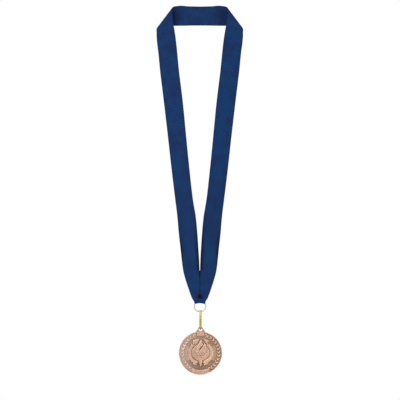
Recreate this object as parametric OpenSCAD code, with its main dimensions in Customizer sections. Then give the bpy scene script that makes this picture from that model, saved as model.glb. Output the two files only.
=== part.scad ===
// Sports medal on a neck ribbon: a cast disc hangs from a small snap hook, the hook
// hangs from a wire ring, and the ring is sewn into the foot of the ribbon.
// Z is up, X is to the right as the medal is seen, and the medal's face looks along -Y.
// The origin is the middle of the stretch of ribbon that lies round the neck, on its
// inner face. Everything is in millimetres.

/* [Ribbon] */
// Thickness of the ribbon
ribbon_t = 1; // [0.8:0.1:1.2]
// Height of the stretch round the neck
neck_h = 22.6; // [21:0.2:24]
// Radius of the soft roll where a strap turns back into the neck stretch
roll_r = 3.6; // [3:0.1:4.2]
// Length of cloth that each outer edge's turned-back crease takes
crease_len = 2.4; // [2:0.1:3]
// Height of the stitches above the middle of the ring
stitch_up = 10.6; // [10.2:0.1:11]

/* [Ring] */
// Outer diameter of the ring
ring_d = 14.4; // [14:0.1:15]
// Diameter of the ring's wire
ring_wire_d = 1.3; // [1:0.1:1.4]
// Height of the ring's middle below the origin
ring_drop = 335.6; // [335:0.1:336]

/* [Snap hook] */
// Diameter of the hook's bar
hook_bar_d = 2.1; // [1.8:0.1:2.2]
// Distance from the ring's wire to the bar that the medal hangs on
hook_len = 19.65; // [19:0.05:20]
// Radius of the hook's bend, to the middle of its bar
hook_bend_r = 3.2; // [3:0.1:3.4]
// Width of the hook's head
head_w = 2.9; // [2.7:0.1:3.1]
// Diameter of the gate's rivet
rivet_d = 1; // [0.8:0.1:1]
// Opening between the hook's tip and the underside of the tongue's end
lap_gap = 0.1; // [0.05:0.05:0.15]

/* [Medal] */
// Diameter of the medal
medal_d = 50; // [48:0.5:50]
// Thickness of the medal at its rim
medal_t = 3; // [2.6:0.1:3.2]
// Thickness of the eyelet
tab_t = 2; // [1.6:0.1:2]
// Diameter of the eyelet's hole
eyelet_d = 4.2; // [4.1:0.1:4.4]
// Depth of the field below the rim
field_sunk = 0.7; // [0.4:0.1:0.8]
// Pairs of leaves on each side of the border
border_pairs = 13; // [9:1:14]
// Pairs of leaves on each branch of the wreath
wreath_pairs = 9; // [6:1:9]

/* [Hidden] */
$fn = 48;

// The ring, the hook and the medal hang in one plane, midway between strap and neck stretch.
hang_y = ribbon_t / 2 - roll_r;

ring_r = (ring_d - ring_wire_d) / 2;
ring_z = -ring_drop;
wire_z = ring_z - ring_r;
bar_z = wire_z - hook_len;
hook_bar_r = hook_bar_d / 2;

// Ribbon. Only the right half is listed: the left half is its mirror image.
// Rows from the stitches up to the roll. The columns are
// the height, the inner edge's x, the outline's x, how far the inner edge and the outer
// edge stand behind the medal's plane, how far the outer edge is turned back in degrees,
// and the length of cloth beyond the crease.
STRAP_Z = 0;
INNER_X = 1;
OUTLINE_X = 2;
INNER_Y = 3;
OUTER_Y = 4;
TURN = 5;
FLAP = 6;
seam_lap = 0.3;
strap_rows = [
    [-325.0, -seam_lap, 9.6, -1.1, -1.1, 180, 8.0],
    [-320.0, -seam_lap, 11.5, -1.4, -1.4, 180, 9.6],
    [-310.5, -seam_lap, 14.7, -1.6, -1.6, 180, 6.4],
    [-301.0, -seam_lap, 17.6, -1.7, -1.7, 180, 3.6],
    [-294.0, -seam_lap, 19.2, -1.8, -1.7, 150, 2.2],
    [-287.0, 0.4, 20.2, -1.9, -1.6, 100, 1.6],
    [-278.0, 1.1, 21.2, -2.1, -1.2, 50, 1.4],
    [-269.0, 1.5, 22.2, -2.3, -0.6, 15, 1.4],
    [-250.4, 2.7, 24.3, -2.6, -0.2, 2, 1.4],
    [-231.9, 4.5, 25.9, -2.9, 0.4, 2, 1.4],
    [-213.4, 7.6, 28.2, -3.2, 0.6, 2, 1.4],
    [-176.3, 11.9, 32.7, -3.6, 0.2, 2, 1.4],
    [-139.3, 15.7, 36.8, -3.9, -0.8, 2, 1.4],
    [-102.3, 19.2, 41.0, -4.0, -2.0, 2, 1.4],
    [-65.3, 23.8, 45.7, -4.0, -3.0, 2, 1.4],
    [-42.0, 26.2, 48.3, -3.8, -3.4, 2, 1.4]
];

// The ribbon's foot, from its end behind the ring, under the ring's wire and up in front.
// The foot is arched, so its middle is higher than its sides.
foot_half_w = 5;
foot_inner_z = ring_z + 5.2;
foot_outer_z = ring_z + 3.7;
foot_r = 1.35;
foot_steps = 6;

// The roll: where the inner and the outer edge of the strap reach it, and its direction.
roll_inner = [32.2, 3.2];
roll_outer = [50.2, -19.9];
roll_axis = [-0.613, 0.790];
roll_out = [0.790, 0.613];
roll_slip = 1.03;
roll_steps = 8;

// Rows between the strap and the roll: the inner edge's and the outer edge's x and z.
lead_rows = [
    [28.6, -21.5, 49.8, -28.5],
    [30.6, -8.2, 50.1, -23.5]
];

// Rows between the roll and the middle of the neck stretch: the same columns.
neck_rows = [
    [16.5, 11.8, 27.0, -11.2],
    [7.5, 11.4, 11.5, -11.3],
    [-seam_lap, neck_h / 2, -seam_lap, -neck_h / 2]
];

// Steps across the ribbon: on its flat part, round the crease and on the part beyond it.
flat_steps = 3;
crease_steps = 4;
flap_steps = 1;

function arc_x(s, turn) = crease_len * 180 / (PI * turn) * sin(turn * s);
function arc_y(s, turn) = crease_len * 180 / (PI * turn) * (1 - cos(turn * s));

// How far the outline reaches beyond the end of the flat part.
function crease_reach(row) =
    row[TURN] > 90
        ? crease_len * 180 / (PI * row[TURN]) + ribbon_t / 2
        : arc_x(1, row[TURN]) + row[FLAP] * cos(row[TURN]) + ribbon_t / 2 * sin(row[TURN]);

// The middle of the cloth across one strap row, from its inner edge to its free edge.
function strap_section(row) =
    let (
        z = row[STRAP_Z],
        a = [row[INNER_X], hang_y + row[INNER_Y], z],
        b = [row[OUTLINE_X] - crease_reach(row), hang_y + row[OUTER_Y], z],
        turn = row[TURN],
        c = b + [arc_x(1, turn), arc_y(1, turn), 0],
        onward = [cos(turn), sin(turn), 0]
    )
    concat(
        [for (i = [0:flat_steps]) a + (b - a) * i / flat_steps],
        [for (i = [1:crease_steps]) b + [arc_x(i / crease_steps, turn), arc_y(i / crease_steps, turn), 0]],
        [for (i = [1:flap_steps]) c + onward * row[FLAP] * i / flap_steps]
    );

// The same number of points along a straight line.
section_steps = flat_steps + crease_steps + flap_steps;
function straight_section(a, b) = [for (i = [0:section_steps]) a + (b - a) * i / section_steps];

function foot_section(turn) =
    let (
        y = hang_y + foot_r * cos(turn),
        drop = foot_r * sin(turn)
    )
    straight_section([-seam_lap, y, foot_inner_z - drop], [foot_half_w, y, foot_outer_z - drop]);

function roll_section(turn) =
    let (
        along = roll_axis * roll_r * roll_slip * turn * PI / 180,
        out = roll_out * roll_r * sin(turn),
        y = hang_y - roll_r * cos(turn),
        a = roll_inner + along + out,
        b = roll_outer + along + out
    )
    straight_section([a[0], y, a[1]], [b[0], y, b[1]]);

function flat_section(row, y) = straight_section([row[0], y, row[1]], [row[2], y, row[3]]);

// The foot's end stands behind the turned-back flaps and is sewn to them.
foot_end = [
    straight_section([-seam_lap, hang_y + 0.7, strap_rows[0][STRAP_Z] + 1],
                     [foot_half_w - 0.4, hang_y + 0.7, strap_rows[0][STRAP_Z] + 1]),
    straight_section([-seam_lap, hang_y + foot_r, foot_inner_z + 2],
                     [foot_half_w, hang_y + foot_r, foot_outer_z + 2])
];
foot_front = straight_section([-seam_lap, hang_y - foot_r - 0.1, foot_inner_z + 2],
                              [7.5, hang_y - foot_r - 0.1, foot_outer_z + 3.4]);

foot_grid = concat(
    foot_end,
    [for (i = [0:foot_steps]) foot_section(180 * i / foot_steps)],
    [foot_front],
    [straight_section([-seam_lap, hang_y - 1.1, -325.2], [9.5, hang_y - 1.1, -325])],
    [straight_section([-seam_lap, hang_y - 1.2, -323], [9.5, hang_y - 1.2, -323])]
);
strap_grid = concat(
    [for (row = strap_rows) strap_section(row)],
    [for (row = lead_rows) flat_section(row, hang_y - roll_r)],
    [for (i = [0:roll_steps]) roll_section(180 * i / roll_steps)],
    [for (row = neck_rows) flat_section(row, hang_y + roll_r)]
);

// A wall of even thickness about a grid of points on its middle surface.
function clamp(i, top) = max(0, min(i, top));
function grid_normal(grid, i, j) =
    let (
        rows = len(grid) - 1,
        cols = len(grid[0]) - 1,
        along = grid[clamp(i + 1, rows)][j] - grid[clamp(i - 1, rows)][j],
        across = grid[i][clamp(j + 1, cols)] - grid[i][clamp(j - 1, cols)],
        n = cross(along, across)
    )
    n / norm(n);

module sheet_wall(grid, t) {
    rows = len(grid);
    cols = len(grid[0]);
    points = [
        for (side = [-1, 1])
            for (i = [0:rows - 1])
                for (j = [0:cols - 1]) grid[i][j] + grid_normal(grid, i, j) * side * t / 2
    ];
    function at(side, i, j) = side * rows * cols + i * cols + j;
    function quad(a, b, c, d) = [[a, b, c], [a, c, d]];
    quads = concat(
        [for (i = [0:rows - 2]) for (j = [0:cols - 2])
            quad(at(0, i, j), at(0, i, j + 1), at(0, i + 1, j + 1), at(0, i + 1, j))],
        [for (i = [0:rows - 2]) for (j = [0:cols - 2])
            quad(at(1, i, j), at(1, i + 1, j), at(1, i + 1, j + 1), at(1, i, j + 1))],
        [for (i = [0:rows - 2])
            quad(at(0, i, 0), at(0, i + 1, 0), at(1, i + 1, 0), at(1, i, 0))],
        [for (i = [0:rows - 2])
            quad(at(0, i, cols - 1), at(1, i, cols - 1), at(1, i + 1, cols - 1), at(0, i + 1, cols - 1))],
        [for (j = [0:cols - 2])
            quad(at(0, 0, j), at(1, 0, j), at(1, 0, j + 1), at(0, 0, j + 1))],
        [for (j = [0:cols - 2])
            quad(at(0, rows - 1, j), at(0, rows - 1, j + 1), at(1, rows - 1, j + 1), at(1, rows - 1, j))]
    );
    polyhedron(points, [for (q = quads) for (f = q) f]);
}

module ribbon() {
    stitch_w = 7;
    stitch_h = 2.4;
    color([0.11, 0.23, 0.42])
    union() {
        for (side = [0, 1]) mirror([side, 0, 0]) {
            sheet_wall(strap_grid, ribbon_t);
            sheet_wall(foot_grid, ribbon_t);
        }
        translate([-stitch_w / 2 - 0.4, hang_y - 0.9, ring_z + stitch_up - stitch_h / 2])
            cube([stitch_w, 1.8, stitch_h]);
    }
}

module ring() {
    color([0.84, 0.80, 0.72])
    translate([0, hang_y, ring_z]) rotate([90, 0, 0])
        rotate_extrude() translate([ring_r, 0]) circle(d = ring_wire_d);
}

// Snap hook. It is drawn in the plane of y and z, about the ring's wire, and is seen
// edge on from the front. Its back side opens with a gate on a rivet.
eye_r = ring_wire_d / 2 + 0.35;
eye_wall = 0.85;
bend_z = hook_bend_r - hook_len;
pivot_y = hook_bend_r;
pivot_z = -5;
boss_r = hook_bar_r;
tip_top = -13.2;
lap_floor = -14.6;
tongue_w = 1.2;
slot_w = tongue_w + 0.2;

// Where the straight side between two circles about p and q touches them.
function side_normal(p, q, rp, rq, side) =
    let (
        d = q - p,
        a = atan2(d[1], d[0]) + side * acos((rp - rq) / norm(d))
    )
    [cos(a), sin(a)];

// A plate across x, of a width, whose outline is drawn with y to the right and z up.
module across_x(w) {
    translate([-w / 2, hang_y, wire_z]) rotate([90, 0, 90]) linear_extrude(w) children();
}

module head_outline() {
    eye = [0, 0];
    shoulder = [pivot_y, pivot_z];
    r = eye_r + eye_wall;
    back = side_normal(eye, shoulder, r, boss_r, 1);
    difference() {
        union() {
            circle(r);
            for (side = [-1, 1]) translate([side * pivot_y, pivot_z]) circle(boss_r);
            polygon([
                [-back[0] * r, back[1] * r],
                [back[0] * r, back[1] * r],
                shoulder + back * boss_r,
                [pivot_y + boss_r, pivot_z],
                [-pivot_y - boss_r, pivot_z],
                [-pivot_y - back[0] * boss_r, pivot_z + back[1] * boss_r]
            ]);
        }
        circle(eye_r);
        translate([0, pivot_z - 1.3]) circle(pivot_y - boss_r);
    }
}

module round_bar(y, from_z, to_z) {
    translate([0, hang_y + y, wire_z + from_z]) cylinder(r = hook_bar_r, h = to_z - from_z);
}

module clip_body() {
    nose_a = 25;
    color([0.78, 0.68, 0.40])
    difference() {
        union() {
            across_x(head_w) head_outline();
            round_bar(-hook_bend_r, bend_z, pivot_z);
            round_bar(hook_bend_r, bend_z, tip_top);
            translate([0, hang_y, wire_z + bend_z]) rotate([90, 180, 90])
                rotate_extrude(angle = 180) translate([hook_bend_r, 0]) circle(hook_bar_r);
            translate([0, hang_y - hook_bend_r * cos(nose_a), wire_z + bend_z - hook_bend_r * sin(nose_a)])
                sphere(r = hook_bar_r + 0.35);
        }
        across_x(slot_w) translate([pivot_y, pivot_z]) circle(boss_r + 0.3);
        across_x(head_w + 1) translate([pivot_y, pivot_z]) circle(d = rivet_d);
        translate([-2, hang_y, wire_z + lap_floor]) cube([4, hook_bend_r + lap_gap / 2, 3]);
    }
}

module clip_rivet() {
    color([0.72, 0.66, 0.48])
    across_x(head_w) translate([pivot_y, pivot_z]) circle(d = rivet_d);
}

module clip_gate() {
    arm_in = 0.85;
    color([0.80, 0.71, 0.45])
    difference() {
        union() {
            across_x(tongue_w) {
                translate([pivot_y, pivot_z]) circle(boss_r);
                translate([pivot_y - arm_in, pivot_z - 2]) square([2 * arm_in, 2]);
            }
            across_x(hook_bar_d) {
                translate([pivot_y - arm_in, tip_top + 0.2])
                    square([2 * arm_in, pivot_z - 1.3 - tip_top - 0.2]);
                translate([pivot_y - arm_in, lap_floor + 0.2])
                    square([arm_in - lap_gap / 2, tip_top - lap_floor + 0.2]);
            }
        }
        across_x(head_w + 1) translate([pivot_y, pivot_z]) circle(d = rivet_d + 0.1);
    }
}

// Medal. Its outlines are drawn with x to the right and z up, about the disc's middle.
medal_r = medal_d / 2;
// How far the inner side of the hook's bend stands above its bar's middle at the eyelet's faces.
seat_up = hook_bend_r - sqrt(pow(hook_bend_r - hook_bar_r, 2) - pow(tab_t / 2, 2));
seat_gap = 0.06;
hole_z = bar_z + seat_up + seat_gap - eyelet_d / 2;
disc_z = hole_z - 27.45;
rim_y = -1.75;
back_y = rim_y + medal_t;
field_y = rim_y + field_sunk;
band_y = field_y - 0.2;
leaf_y = rim_y + 0.05;
figure_y = rim_y - 0.05;

// A plate between two depths behind the medal's plane, facing the viewer.
module plate(front_y, rear_y) {
    translate([0, hang_y + rear_y, disc_z]) rotate([90, 0, 0])
        linear_extrude(rear_y - front_y) children();
}

module ring_outline(outer_r, inner_r) {
    difference() {
        circle(outer_r, $fn = 96);
        circle(inner_r, $fn = 96);
    }
}

// A stretch of a ring between two bearings, clockwise from the top.
module sector(outer_r, inner_r, from_a, to_a) {
    far = outer_r * 1.3;
    middle = (from_a + to_a) / 2;
    intersection() {
        ring_outline(outer_r, inner_r);
        polygon([
            [0, 0],
            [far * sin(from_a), far * cos(from_a)],
            [far * sin(middle), far * cos(middle)],
            [far * sin(to_a), far * cos(to_a)]
        ]);
    }
}

// A pointed leaf that grows along +y from the origin.
module leaf(length, width) {
    r = (length * length + width * width) / (4 * width);
    intersection() {
        translate([r - width / 2, length / 2]) circle(r);
        translate([width / 2 - r, length / 2]) circle(r);
    }
}

// Pairs of leaves along the right-hand side of a circle, growing towards the top.
module leaf_pairs(pairs, stem_r, from_a, to_a, length, width, spread_a) {
    pitch = (to_a - from_a) / (pairs - 1);
    for (i = [0:pairs - 1]) {
        bearing = from_a + pitch * i;
        for (side = [-1, 1])
            translate([stem_r * sin(bearing), stem_r * cos(bearing)])
                rotate(90 - bearing + side * spread_a) translate([0, 0.25]) leaf(length, width);
    }
}

module both_sides() {
    children();
    mirror([1, 0]) children();
}

module border() {
    band_in = 0.77 * medal_r;
    bead_in = 0.975 * medal_r;
    stem = 0.875 * medal_r;
    plate(rim_y, field_y + 0.1) ring_outline(medal_r, bead_in);
    plate(band_y, field_y + 0.1) ring_outline(bead_in + 0.1, band_in);
    plate(leaf_y, field_y + 0.1) both_sides() {
        leaf_pairs(border_pairs, stem, 25, 145, 3.3, 1.4, 36);
        translate([stem * sin(16), stem * cos(16)]) circle(0.9, $fn = 24);
    }
    plate(leaf_y, field_y + 0.1) sector(bead_in + 0.1, band_in + 0.3, 152, 208);
}

module wreath() {
    plate(leaf_y + 0.15, field_y + 0.1) both_sides()
        leaf_pairs(wreath_pairs, 0.515 * medal_r, 54, 166, 3.4, 1.6, 30);
}

module inner_field() {
    plate(band_y, field_y + 0.1) circle(0.4 * medal_r, $fn = 96);
    plate(band_y, field_y + 0.1) both_sides() sector(0.73 * medal_r, 0.45 * medal_r, 18, 33);
}

// Torch: the columns are the height below the flame's tip and the half width.
torch_top = 16.4;
flame_rows = [[0, 0.2], [1.8, 1.2], [4.6, 2.9], [7.8, 4.9], [10.0, 5.7], [12.0, 5.5], [13.9, 4.4]];
cup_rows = [[14.6, 5.3], [16.2, 5.3], [17.1, 3.5], [19.1, 3.3]];
collar_rows = [[19.6, 2.8], [21.2, 2.8]];
grip_rows = [[21.0, 2.4], [25.0, 2.1], [28.7, 1.3], [31.6, 0.3]];

module turned(rows) {
    polygon(concat(
        [for (row = rows) [row[1], torch_top - row[0]]],
        [for (i = [len(rows) - 1:-1:0]) [-rows[i][1], torch_top - rows[i][0]]]
    ));
}

module torch() {
    plate(figure_y, field_y + 0.1) {
        difference() {
            turned(flame_rows);
            translate([1.2, torch_top - 9.6]) rotate(-45) square([0.5, 3.6], center = true);
        }
        turned(cup_rows);
        turned(collar_rows);
        turned(grip_rows);
    }
}

// The eyelet's sides leave its round top at this slope and run into the disc.
module eyelet_outline() {
    top_r = 3.1;
    slope = 33;
    up = hole_z - disc_z + 0.1;
    foot = 6.4;
    touch = [top_r * cos(slope), up + top_r * sin(slope)];
    base = [touch[0] + foot * tan(slope), touch[1] - foot];
    translate([0, up]) circle(top_r);
    polygon([touch, base, [base[0], base[1] - 2], [-base[0], base[1] - 2], [-base[0], base[1]], [-touch[0], touch[1]]]);
}

module medal() {
    block_w = 8.2;
    block_down = 19.6;
    color([0.78, 0.63, 0.53])
    difference() {
        union() {
            plate(field_y, back_y) circle(medal_r, $fn = 96);
            border();
            wreath();
            inner_field();
            torch();
            plate(-tab_t / 2, tab_t / 2) eyelet_outline();
            plate(rim_y + 0.1, field_y + 0.1) translate([-block_w / 2, block_down])
                square([block_w, medal_r - block_down - 0.4]);
        }
        translate([0, hang_y, hole_z]) rotate([90, 0, 0])
            cylinder(d = eyelet_d, h = 8, center = true);
    }
}

ribbon();
ring();
clip_body();
clip_rivet();
clip_gate();
medal();
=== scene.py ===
import math

import bpy
import numpy as np
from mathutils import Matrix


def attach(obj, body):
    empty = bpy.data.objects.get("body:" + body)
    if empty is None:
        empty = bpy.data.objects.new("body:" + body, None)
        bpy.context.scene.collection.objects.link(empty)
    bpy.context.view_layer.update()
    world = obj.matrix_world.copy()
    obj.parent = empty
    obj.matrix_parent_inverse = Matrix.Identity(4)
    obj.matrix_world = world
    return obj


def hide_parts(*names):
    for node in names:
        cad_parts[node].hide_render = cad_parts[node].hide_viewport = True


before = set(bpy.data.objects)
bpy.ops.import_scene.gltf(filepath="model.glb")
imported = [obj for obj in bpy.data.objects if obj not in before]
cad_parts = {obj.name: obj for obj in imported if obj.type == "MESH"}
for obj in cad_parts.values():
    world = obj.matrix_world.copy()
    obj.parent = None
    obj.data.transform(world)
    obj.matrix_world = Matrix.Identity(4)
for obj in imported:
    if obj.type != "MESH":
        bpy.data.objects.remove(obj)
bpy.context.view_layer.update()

# Sizes in millimetres, in the frame of the solids. The ring, the hook and the medal hang in
# one plane, at hang_y.
MM = 0.001
hang_y = -3.1
ring_z = -335.6
ring_r = 6.55
ring_wire_r = 0.65
hole_z = -362.543
hole_r = 2.1
disc_z = -389.993
medal_r = 25.0

# The ribbon's width before it is gathered into the foot, its thickness, and the length of
# cloth that a turned-back crease takes.
ribbon_w = 22.5
cloth_t = 0.55
crease_len = 2.4

# The weave in metres: from rib to rib, from warp to warp and from stripe to stripe.
rib_pitch = 0.00056
warp_pitch = 0.00024
stripe_pitch = 0.0027

# The blues of the ribbon and the thread.
stripe_blue = (0.0046, 0.0447, 0.1503, 1)
beside_blue = (0.0006, 0.0115, 0.0495, 1)
cloud_blue = (0.0052, 0.0170, 0.070, 1)
# Painted shade: between the ribs, along the edges and in the folds.
rib_gap_shade_blue = (0.0014, 0.0075, 0.030, 1)
edge_shade_blue = (0.0006, 0.0034, 0.016, 1)
fold_shade_blue = (0.0006, 0.0028, 0.012, 1)
thread_blues = (0.0012, 0.0045, 0.018, 1), (0.0026, 0.0095, 0.036, 1)

# Plated metals in two tones each. Down the hook's bar a darker gilt is painted on as shade, fading out
# between these heights in metres.
wire_golds = (0.57, 0.52, 0.415, 1), (0.49, 0.44, 0.335, 1)
hook_golds = (0.56, 0.43, 0.15, 1), (0.52, 0.39, 0.125, 1)
pin_greys = (0.62, 0.58, 0.50, 1), (0.48, 0.44, 0.37, 1)
bar_shade_gold = (0.41, 0.282, 0.062, 1)
bar_shade_foot_z, bar_shade_top_z = -0.354, -0.345

# The tones of the bronze, and of its painted reflection and painted highlight.
bronze_lights = (0.720, 0.452, 0.330, 1), (0.668, 0.443, 0.312, 1)
bronze_toned = (0.40, 0.255, 0.175, 1)
bronze_deep = (0.105, 0.058, 0.032, 1)
bronze_reflection_tint = (0.56, 0.44, 0.40, 1)
bronze_rim_highlight = (0.88, 0.78, 0.70, 1)
bronze_grit = (0.18, 0.11, 0.07, 1)


# Points in millimetres become a mesh object in metres.
def make_piece(name, points, faces, material):
    mesh = bpy.data.meshes.new(name)
    mesh.from_pydata((np.asarray(points, float) * MM).tolist(), [], faces)
    mesh.validate()
    mesh.update()
    mesh.shade_smooth()
    mesh.materials.append(material)
    piece = bpy.data.objects.new(name, mesh)
    bpy.context.scene.collection.objects.link(piece)
    return piece


# The faces of a skin whose points lie in rows, each of which closes round on itself. A
# closed skin's last row also joins its first.
def around_faces(rows, cols, start=0, closed=True):
    faces = []
    for i in range(rows if closed else rows - 1):
        for j in range(cols):
            m, n = (i + 1) % rows, (j + 1) % cols
            low, high = start + i * cols, start + m * cols
            faces.append((low + j, high + j, high + n, low + n))
    return faces


# A value kept from 0 to 1.
def unit(value):
    return np.clip(value, 0, 1)


# A soft step from 0 at low to 1 at high.
def step_up(value, low, high):
    t = unit((value - low) / (high - low))
    return t * t * (3 - 2 * t)


# A soft spot: 1 at its middle, and fading over its half width and half height.
def soft_spot(x, z, at_x, at_z, half_w, half_h):
    return np.exp(-((x - at_x) / half_w) ** 2 - ((z - at_z) / half_h) ** 2)


# Smooth values through a table's rows, without overshoot.
def through_rows(x, y, at):
    x = np.asarray(x, float)
    y = np.asarray(y, float)
    h = np.diff(x)
    d = np.diff(y) / h
    slope = np.zeros_like(y)
    slope[0] = d[0]
    slope[-1] = d[-1]
    for k in range(1, len(x) - 1):
        if d[k - 1] * d[k] > 0:
            w1 = 2 * h[k] + h[k - 1]
            w2 = h[k] + 2 * h[k - 1]
            slope[k] = (w1 + w2) / (w1 / d[k - 1] + w2 / d[k])
    i = np.clip(np.searchsorted(x, at) - 1, 0, len(x) - 2)
    t = (at - x[i]) / h[i]
    begin = (1 + 2 * t) * (1 - t) ** 2 * y[i] + t * (1 - t) ** 2 * h[i] * slope[i]
    end = t * t * (3 - 2 * t) * y[i + 1] + t * t * (t - 1) * h[i] * slope[i + 1]
    return begin + end


# A smooth curve through points, with the given step along it.
def smooth_path(p, step):
    n = len(p)
    length = np.linalg.norm(np.diff(p, axis=0), axis=1)
    u = np.concatenate([[0], np.cumsum(length)])
    h = np.diff(u)
    rows = np.eye(n)
    right = np.zeros_like(p)
    for k in range(1, n - 1):
        rows[k, k - 1:k + 2] = h[k - 1], 2 * (h[k - 1] + h[k]), h[k]
        right[k] = 6 * ((p[k + 1] - p[k]) / h[k] - (p[k] - p[k - 1]) / h[k - 1])
    bend = np.linalg.solve(rows, right)
    at = np.linspace(0, u[-1], int(u[-1] / step) + 2)
    i = np.clip(np.searchsorted(u, at) - 1, 0, n - 2)
    a = ((u[i + 1] - at) / h[i])[:, None]
    b = 1 - a
    curve = (a ** 3 - a) * bend[i] + (b ** 3 - b) * bend[i + 1]
    return a * p[i] + b * p[i + 1] + curve * (h[i] ** 2)[:, None] / 6


# Shader nodes, with short names for the kinds that are used most.
class Shader:
    def __init__(self, name):
        self.material = bpy.data.materials.new(name)
        self.material.use_nodes = True
        self.tree = self.material.node_tree
        self.surface = self.tree.nodes["Principled BSDF"]

    def node(self, kind, **settings):
        made = self.tree.nodes.new("ShaderNode" + kind)
        for key, value in settings.items():
            setattr(made, key, value)
        return made

    def plug(self, value, socket):
        if hasattr(value, "is_output"):
            self.tree.links.new(value, socket)
        else:
            socket.default_value = value

    def math(self, operation, a, b=0.0, clamp=False):
        made = self.node("Math", operation=operation, use_clamp=clamp)
        self.plug(a, made.inputs[0])
        self.plug(b, made.inputs[1])
        return made.outputs[0]

    def times(self, a, b):
        return self.math("MULTIPLY", a, b)

    def plus(self, a, b):
        return self.math("ADD", a, b)

    def ramp(self, value, from_low, from_high, to_low=0.0, to_high=1.0):
        made = self.node("MapRange", interpolation_type="SMOOTHSTEP")
        for socket, number in zip(made.inputs[1:5], (from_low, from_high, to_low, to_high)):
            socket.default_value = number
        self.plug(value, made.inputs[0])
        return made.outputs[0]

    def noise(self, scale, detail=3.0, where=None, roughness=0.5):
        made = self.node("TexNoise")
        made.inputs["Scale"].default_value = scale
        made.inputs["Detail"].default_value = detail
        made.inputs["Roughness"].default_value = roughness
        if where is None:
            where = self.node("TexCoord").outputs["Object"]
        self.plug(where, made.inputs["Vector"])
        return made.outputs["Fac"]

    def mix(self, share, a, b):
        made = self.node("Mix", data_type="RGBA")
        self.plug(share, made.inputs["Factor"])
        self.plug(a, made.inputs["A"])
        self.plug(b, made.inputs["B"])
        return made.outputs["Result"]

    def attribute(self, name):
        return self.node("Attribute", attribute_name=name).outputs["Fac"]

    def bump(self, height, distance, strength):
        made = self.node("Bump")
        made.inputs["Distance"].default_value = distance
        made.inputs["Strength"].default_value = strength
        self.plug(height, made.inputs["Height"])
        return made.outputs["Normal"]

    def set(self, **values):
        for key, value in values.items():
            self.plug(value, self.surface.inputs[key.replace("_", " ")])


# Woven ribbon: fine ribs across it, slanting stripes, and painted shade between the ribs and along the
# edges. Its UV map holds the distances across and along the cloth in metres, and the fold attribute how
# much painted shade lies on a spot: in folds, down the seam, in the pucker and behind the straps.
def ribbon_material():
    s = Shader("ribbon_cloth")
    parts = s.node("SeparateXYZ")
    s.plug(s.node("UVMap", uv_map="cloth").outputs[0], parts.inputs[0])
    across, along = parts.outputs[0], parts.outputs[1]
    ribs = s.math("SINE", s.times(along, 2 * math.pi / rib_pitch))
    warp = s.math("SINE", s.times(across, 2 * math.pi / warp_pitch))
    slope = s.ramp(along, 0.03, 0.2, 0.95, 0.25)
    slant = s.plus(along, s.times(across, slope))
    slant = s.times(slant, s.ramp(along, 0.03, 0.2, 0.74, 0.97))
    wander = s.times(s.noise(70.0, 2.0), 4.0)
    phase = s.plus(s.times(slant, 2 * math.pi / stripe_pitch), wander)
    stripe = s.ramp(s.math("SINE", phase), -1.0, 1.0)
    stripe = s.mix(s.ramp(along, 0.10, 0.38, 0.05, 0.80), stripe, (0.5, 0.5, 0.5, 1))
    cloudy = s.ramp(s.noise(90.0, 4.0, roughness=0.65), 0.36, 0.64, 0.0, 0.85)
    tone = s.mix(stripe, beside_blue, stripe_blue)
    tone = s.mix(cloudy, tone, cloud_blue)
    # Painted shade in the troughs between the ribs.
    rib_gap_shade = s.ramp(ribs, -1.0, 0.2, 0.3, 0.0)
    tone = s.mix(rib_gap_shade, tone, rib_gap_shade_blue)
    # Painted shade along the edges, where the cloth rolls away; weaker higher up the straps.
    edge = s.math("MINIMUM", across, s.math("SUBTRACT", ribbon_w * MM, across))
    edge_shade = s.times(s.ramp(edge, 0.0003, 0.0052, 1.0, 0.0), s.ramp(along, 0.0465, 0.051))
    edge_shade = s.times(edge_shade, s.ramp(along, 0.07, 0.12, 1.0, 0.12))
    tone = s.mix(edge_shade, tone, edge_shade_blue)
    # Painted shade from the cloth's attribute: in folds, down the seam, in the pucker and behind the
    # straps.
    tone = s.mix(s.attribute("fold"), tone, fold_shade_blue)
    height = s.plus(s.times(ribs, 0.5), s.times(warp, 0.16))
    normal = s.bump(height, 0.00006, 0.75)
    s.set(Base_Color=tone, Roughness=0.62, Specular_IOR_Level=0.08, Normal=normal)
    return s.material


# Sewing thread: twisted, and darker than the ribbon.
def thread_material():
    s = Shader("sewing_thread")
    twist = s.node("TexWave", wave_type="BANDS", bands_direction="DIAGONAL")
    twist.inputs["Scale"].default_value = 1400.0
    twist.inputs["Distortion"].default_value = 1.5
    s.plug(s.node("TexCoord").outputs["Object"], twist.inputs["Vector"])
    twisted = twist.outputs["Fac"]
    tone = s.mix(twisted, *thread_blues)
    normal = s.bump(twisted, 0.00005, 0.6)
    s.set(Base_Color=tone, Roughness=0.7, Specular_IOR_Level=0.15, Normal=normal)
    return s.material


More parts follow.
